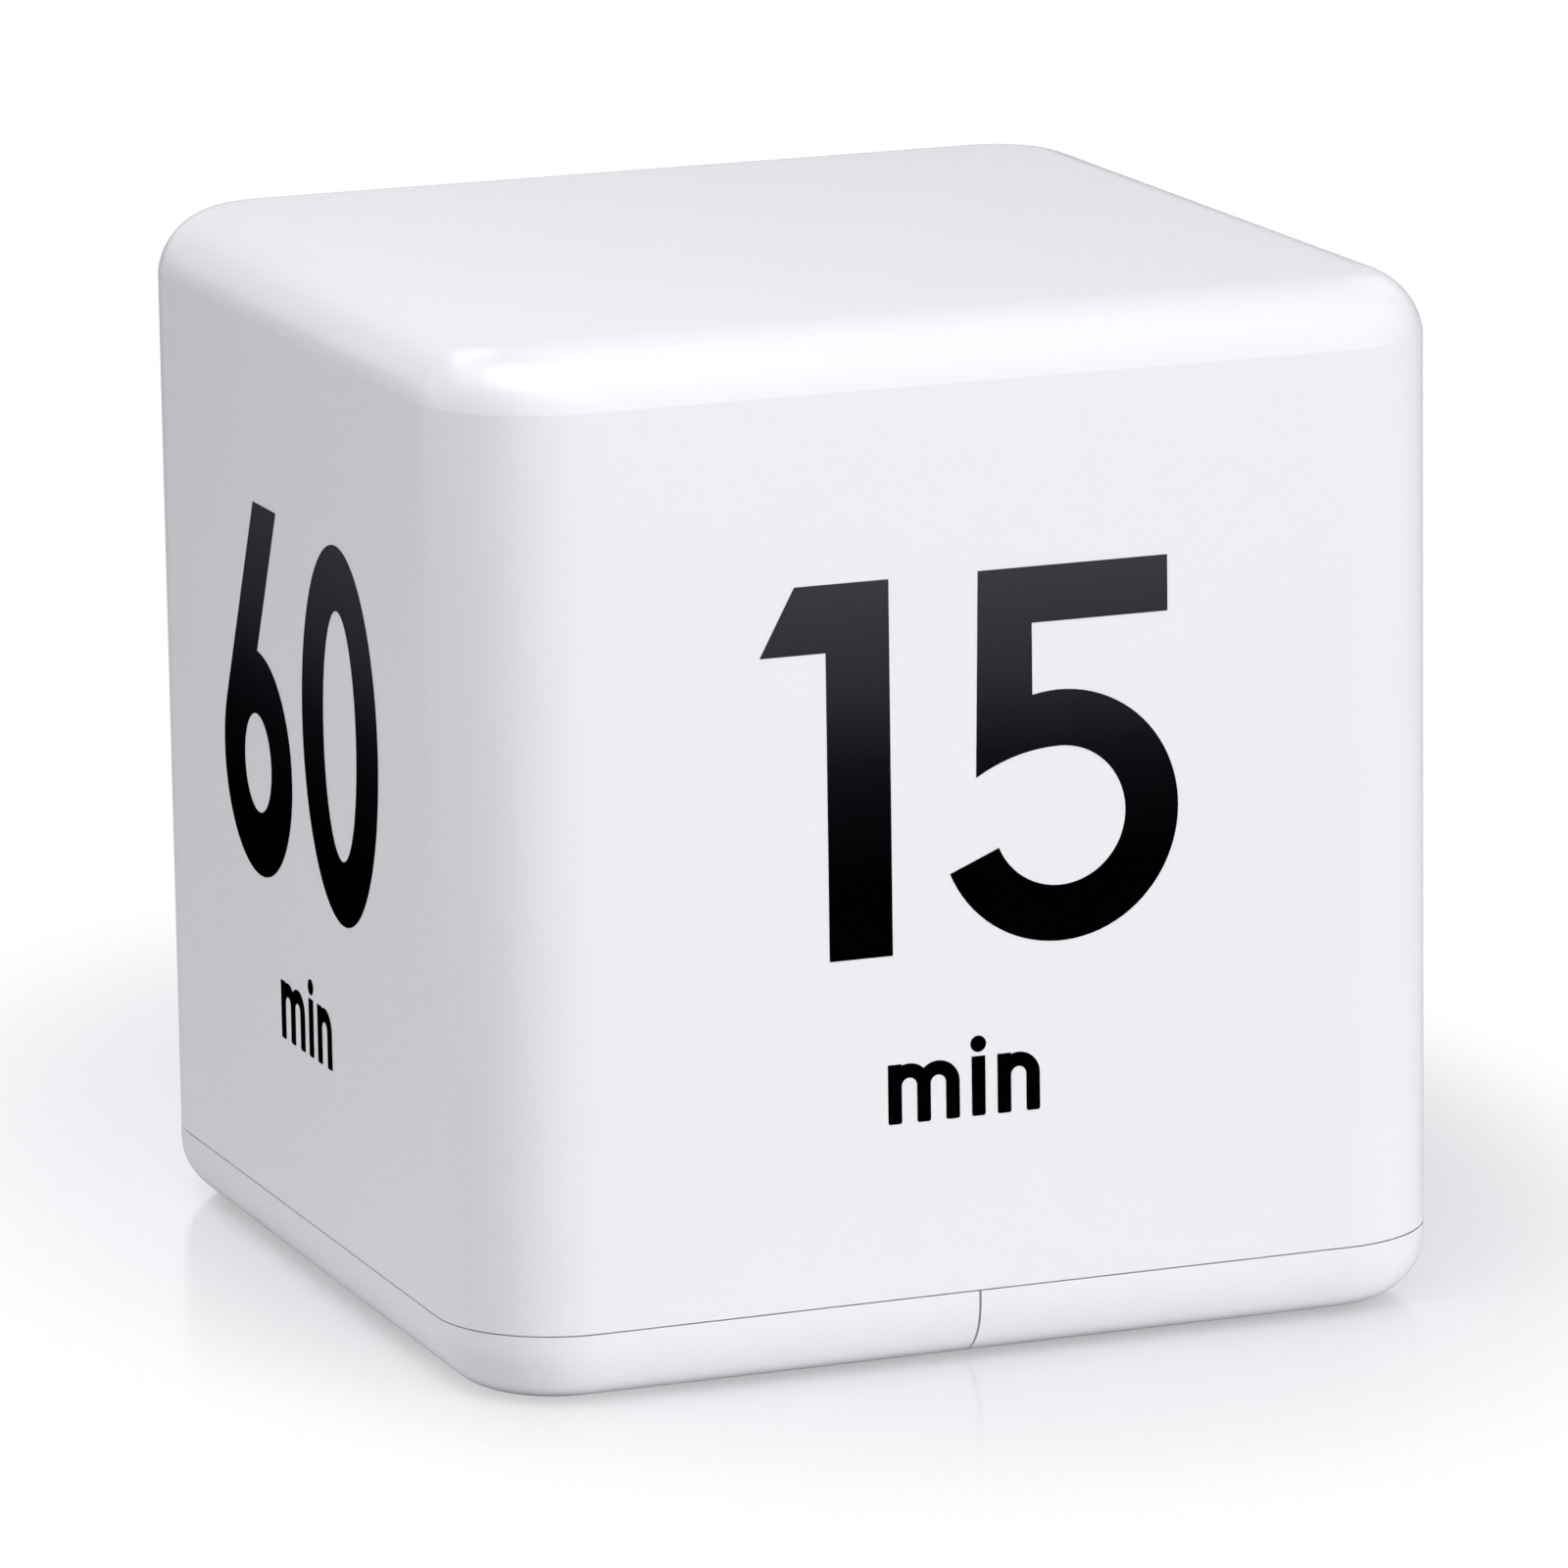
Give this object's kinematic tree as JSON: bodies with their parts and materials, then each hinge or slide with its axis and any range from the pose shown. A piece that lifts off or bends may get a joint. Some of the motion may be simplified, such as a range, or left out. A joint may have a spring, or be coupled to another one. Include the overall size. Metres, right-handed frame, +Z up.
{
  "type": "cube timer",
  "caption": "Pocket-sized white cube timer that starts when turned, with a printed time on each side, a sliding battery door and a display and switch underneath",
  "frame": {"origin": "centre of the base, on the surface that the cube stands on", "axes": "+Z up; -Y is the side printed 15, -X the side printed 60 and the battery door's half, +X the side printed 20, +Y the side printed 30"},
  "size_m": [0.0636, 0.0636, 0.0635],
  "materials": {
    "shell_plastic": "satin, fine grain",
    "cap_plastic": "satin, fine grain",
    "ink": "printed ink",
    "foam": "closed-cell foam",
    "cell_jacket": "printed jacket on a steel can",
    "contact_metal": "nickel plated",
    "spring_steel": "nickel plated wire",
    "red_insulation": "smooth",
    "black_insulation": "smooth",
    "lens": "clear, polished",
    "display": "reflective grey-green display",
    "holder_plastic": "moulded",
    "strip_rubber": "layered conductive rubber",
    "board": "green solder mask",
    "chip_resin": "poured resin",
    "can_steel": "tinned",
    "capacitor_sleeve": "shrink sleeve",
    "resistor": "ceramic chip",
    "lever_plastic": "moulded",
    "knob_plastic": "moulded, grooved",
    "buzzer_plastic": "moulded",
    "tilt_metal": "plated",
    "tilt_base": "moulded",
    "ball_steel": "polished",
    "screw_steel": "zinc plated"
  },
  "bodies": {
    "housing": {"main_shell": "shell_plastic", "number_15": "ink", "number_20": "ink", "number_30": "ink", "number_60": "ink", "bottom_housing": "cap_plastic", "aaa_cell_1": "cell_jacket", "aaa_cell_2": "cell_jacket", "negative_terminal": "contact_metal", "positive_terminal": "contact_metal", "bridge_contact": "contact_metal", "contact_spring_1": "spring_steel", "contact_spring_2": "spring_steel", "red_lead": "red_insulation", "black_lead": "black_insulation", "display_lens": "lens", "display_glass": "display", "display_holder": "holder_plastic", "zebra_strip_1": "strip_rubber", "zebra_strip_2": "strip_rubber", "main_board": "board", "timer_chip": "chip_resin", "crystal": "can_steel", "capacitor": "capacitor_sleeve", "resistors": "resistor", "switch_body": "can_steel", "buzzer": "buzzer_plastic", "buzzer_gasket": "foam", "base_screws": "screw_steel", "board_screws": "screw_steel", "tilt_can_1": "tilt_metal", "tilt_cap_1": "tilt_base", "tilt_can_2": "tilt_metal", "tilt_cap_2": "tilt_base", "tilt_can_3": "tilt_metal", "tilt_cap_3": "tilt_base", "tilt_can_4": "tilt_metal", "tilt_cap_4": "tilt_base"},
    "battery_door": {"battery_door": "cap_plastic", "door_foam_pad": "foam"},
    "power_switch": {"switch_knob": "knob_plastic", "switch_lever": "lever_plastic"},
    "tilt_ball_1": {"tilt_ball_1": "ball_steel"},
    "tilt_ball_2": {"tilt_ball_2": "ball_steel"},
    "tilt_ball_3": {"tilt_ball_3": "ball_steel"},
    "tilt_ball_4": {"tilt_ball_4": "ball_steel"}
  },
  "joints": [
    {"name": "battery_door_slide", "type": "slide", "parent": "housing", "child": "battery_door", "axis": [-1, 0, 0], "range_m": [0, 0.026]},
    {"name": "power_switch_slide", "type": "slide", "parent": "housing", "child": "power_switch", "axis": [0, 1, 0], "range_m": [0, 0.0025]},
    {"name": "tilt_ball_1_roll", "type": "slide", "parent": "housing", "child": "tilt_ball_1", "axis": [0.9659, 0, 0.2588], "range_m": [0, 0.0029]},
    {"name": "tilt_ball_2_roll", "type": "slide", "parent": "housing", "child": "tilt_ball_2", "axis": [0, 0.9659, 0.2588], "range_m": [0, 0.0029]},
    {"name": "tilt_ball_3_roll", "type": "slide", "parent": "housing", "child": "tilt_ball_3", "axis": [-0.9659, 0, 0.2588], "range_m": [0, 0.0029]},
    {"name": "tilt_ball_4_roll", "type": "slide", "parent": "housing", "child": "tilt_ball_4", "axis": [0, -0.9659, 0.2588], "range_m": [0, 0.0029]}
  ]
}
